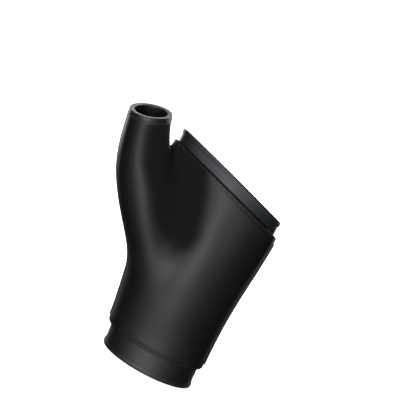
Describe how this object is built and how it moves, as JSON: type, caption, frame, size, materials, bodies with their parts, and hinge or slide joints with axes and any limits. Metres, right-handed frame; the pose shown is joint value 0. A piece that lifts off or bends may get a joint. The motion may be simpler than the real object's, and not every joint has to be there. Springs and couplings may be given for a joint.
{
  "type": "wrist support brace",
  "caption": "Two-layer stretch wrist and thumb support for a left hand, with sliding back stays and a hook-and-loop strap.",
  "frame": {"origin": "centre of the cuff opening, in the plane of the cuff's lower edge", "axes": "+Z from the cuff to the fingers, -Y out of the palm, -X towards the thumb"},
  "size_m": [0.1136, 0.0579, 0.1461],
  "materials": {
    "outer_fabric": "smooth satin knit laminated on a thin foam",
    "inner_fabric": "fine matt stretch knit",
    "binding_tape": "woven elastic tape, satin",
    "seam_tape": "narrow ribbed tape",
    "sewing_thread": "twisted polyester thread, slight sheen",
    "loop_fabric": "brushed loop pile, matt",
    "strap_elastic": "woven elastic, matt",
    "hook_plastic": "moulded hooks, matt",
    "stay_steel": "cold rolled spring strip",
    "stay_tip_plastic": "dipped plastic",
    "thumb_stay_plastic": "natural polypropylene, matt"
  },
  "bodies": {
    "sleeve": {"outer_palm_panel": "outer_fabric", "outer_back_panel": "outer_fabric", "inner_palm_panel": "inner_fabric", "inner_back_panel": "inner_fabric", "cuff_binding": "binding_tape", "finger_binding": "binding_tape", "thumb_binding": "binding_tape", "ulnar_seam_tape": "seam_tape", "radial_seam_tape": "seam_tape", "cuff_stitching": "sewing_thread", "finger_stitching": "sewing_thread", "thumb_stitching": "sewing_thread", "lower_hem_stitching": "sewing_thread", "upper_hem_stitching": "sewing_thread", "anchor_stitching": "sewing_thread", "loop_patch_stitching": "sewing_thread", "thumb_stay": "thumb_stay_plastic", "loop_patch": "loop_fabric", "strap_anchor": "strap_elastic"},
    "wrist_strap": {"wrist_strap": "strap_elastic", "hook_tab": "hook_plastic", "hook_tab_stitching": "sewing_thread"},
    "radial_back_stay": {"radial_back_stay": "stay_steel", "radial_stay_lower_tip": "stay_tip_plastic", "radial_stay_upper_tip": "stay_tip_plastic"},
    "ulnar_back_stay": {"ulnar_back_stay": "stay_steel", "ulnar_stay_lower_tip": "stay_tip_plastic", "ulnar_stay_upper_tip": "stay_tip_plastic"}
  },
  "joints": [
    {"name": "strap_fold", "type": "hinge", "parent": "sleeve", "child": "wrist_strap", "pos_m": [0.02441, 0.016, 0.039], "axis": [0.0625, 0, -0.998], "range_deg": [0, 120]},
    {"name": "radial_stay_slide", "type": "slide", "parent": "sleeve", "child": "radial_back_stay", "axis": [-0.0691, -0.0275, 0.9972], "range_m": [0, 0.088]},
    {"name": "ulnar_stay_slide", "type": "slide", "parent": "sleeve", "child": "ulnar_back_stay", "axis": [-0.0691, -0.0275, 0.9972], "range_m": [0, 0.088]}
  ]
}
